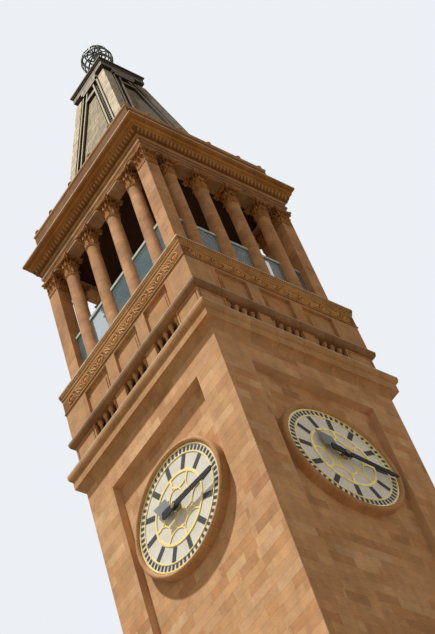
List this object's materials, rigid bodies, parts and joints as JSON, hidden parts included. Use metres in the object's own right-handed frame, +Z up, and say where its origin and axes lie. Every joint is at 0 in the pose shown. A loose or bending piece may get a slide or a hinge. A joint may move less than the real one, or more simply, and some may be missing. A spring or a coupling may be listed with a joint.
{
  "type": "clock tower (1:10 scale model)",
  "caption": "Tall square stone clock tower with recessed faces, gilt dials, gallery, open colonnaded belfry, stone spire and wire globe, as a scale model.",
  "frame": {"origin": "middle of the underside of the ground slab", "axes": "+Z up the tower's axis; -Y is the front with the doorway, +X the right side"},
  "size_m": [0.967, 0.967, 8.398],
  "materials": {
    "sandstone": "honed ashlar blocks in mixed tones",
    "weathered_sandstone": "darker weathered ashlar",
    "cream_stone": "pale facing in thin courses",
    "dark_louvre": "matt black",
    "dark_bronze": "dull bronze paint",
    "white_metal": "white paint",
    "oak": "dark oiled boards",
    "screen_glass": "clear sheet",
    "pale_rail": "pale grey paint",
    "opal_glass": "white opal glass",
    "grey_enamel": "dark grey enamel",
    "gilt_metal": "gold leaf",
    "black_metal": "black paint"
  },
  "bodies": {
    "tower": {"ground_slab": "sandstone", "plinth_course": "sandstone", "corner_piers": "sandstone", "wall_panels": "sandstone", "wall_head": "sandstone", "door_frame": "sandstone", "door_leaf": "oak", "lower_cornice": "sandstone", "gallery_wall": "sandstone", "balusters": "sandstone", "gallery_rail": "sandstone", "dado_wall": "sandstone", "dado_tablets": "sandstone", "frieze_rail": "sandstone", "belfry_floor": "sandstone", "belfry_posts": "sandstone", "post_capitals": "sandstone", "columns": "sandstone", "column_capitals": "sandstone", "glass_screens": "screen_glass", "screen_rails": "pale_rail", "architrave": "weathered_sandstone", "belfry_ceiling": "weathered_sandstone", "main_cornice": "weathered_sandstone", "roof_slab": "sandstone", "parapet": "weathered_sandstone", "parapet_bosses": "weathered_sandstone", "spire_shell": "cream_stone", "spire_piers": "cream_stone", "spire_ribs": "cream_stone", "spire_louvres": "dark_louvre", "spire_cap": "cream_stone", "globe_stem": "dark_bronze", "wire_globe": "dark_bronze", "globe_spike": "white_metal", "clock_drums": "weathered_sandstone", "clock_dials": "opal_glass", "dial_marks": "grey_enamel", "dial_tracery": "gilt_metal", "clock_axles": "black_metal"},
    "minute_hand_front": {"minute_hand_front": "black_metal"},
    "hour_hand_front": {"hour_hand_front": "black_metal"},
    "minute_hand_right": {"minute_hand_right": "black_metal"},
    "hour_hand_right": {"hour_hand_right": "black_metal"},
    "minute_hand_back": {"minute_hand_back": "black_metal"},
    "hour_hand_back": {"hour_hand_back": "black_metal"},
    "minute_hand_left": {"minute_hand_left": "black_metal"},
    "hour_hand_left": {"hour_hand_left": "black_metal"}
  },
  "joints": [
    {"name": "minute_turn_front", "type": "hinge", "parent": "tower", "child": "minute_hand_front", "pos_m": [0, -0.4065, 4.5], "axis": [0, -1, 0], "continuous": true},
    {"name": "hour_turn_front", "type": "hinge", "parent": "tower", "child": "hour_hand_front", "pos_m": [0, -0.4065, 4.5], "axis": [0, -1, 0], "continuous": true},
    {"name": "minute_turn_right", "type": "hinge", "parent": "tower", "child": "minute_hand_right", "pos_m": [0.4065, 0, 4.5], "axis": [1, 0, 0], "continuous": true},
    {"name": "hour_turn_right", "type": "hinge", "parent": "tower", "child": "hour_hand_right", "pos_m": [0.4065, 0, 4.5], "axis": [1, 0, 0], "continuous": true},
    {"name": "minute_turn_back", "type": "hinge", "parent": "tower", "child": "minute_hand_back", "pos_m": [0, 0.4065, 4.5], "axis": [0, 1, 0], "continuous": true},
    {"name": "hour_turn_back", "type": "hinge", "parent": "tower", "child": "hour_hand_back", "pos_m": [0, 0.4065, 4.5], "axis": [0, 1, 0], "continuous": true},
    {"name": "minute_turn_left", "type": "hinge", "parent": "tower", "child": "minute_hand_left", "pos_m": [-0.4065, 0, 4.5], "axis": [-1, 0, 0], "continuous": true},
    {"name": "hour_turn_left", "type": "hinge", "parent": "tower", "child": "hour_hand_left", "pos_m": [-0.4065, 0, 4.5], "axis": [-1, 0, 0], "continuous": true}
  ],
  "couplings": [
    {"joint": "hour_turn_front", "follows": "minute_turn_front", "ratio": 0.083333},
    {"joint": "minute_turn_right", "follows": "minute_turn_front", "ratio": 1},
    {"joint": "hour_turn_right", "follows": "minute_turn_front", "ratio": 0.083333},
    {"joint": "minute_turn_back", "follows": "minute_turn_front", "ratio": 1},
    {"joint": "hour_turn_back", "follows": "minute_turn_front", "ratio": 0.083333},
    {"joint": "minute_turn_left", "follows": "minute_turn_front", "ratio": 1},
    {"joint": "hour_turn_left", "follows": "minute_turn_front", "ratio": 0.083333}
  ]
}
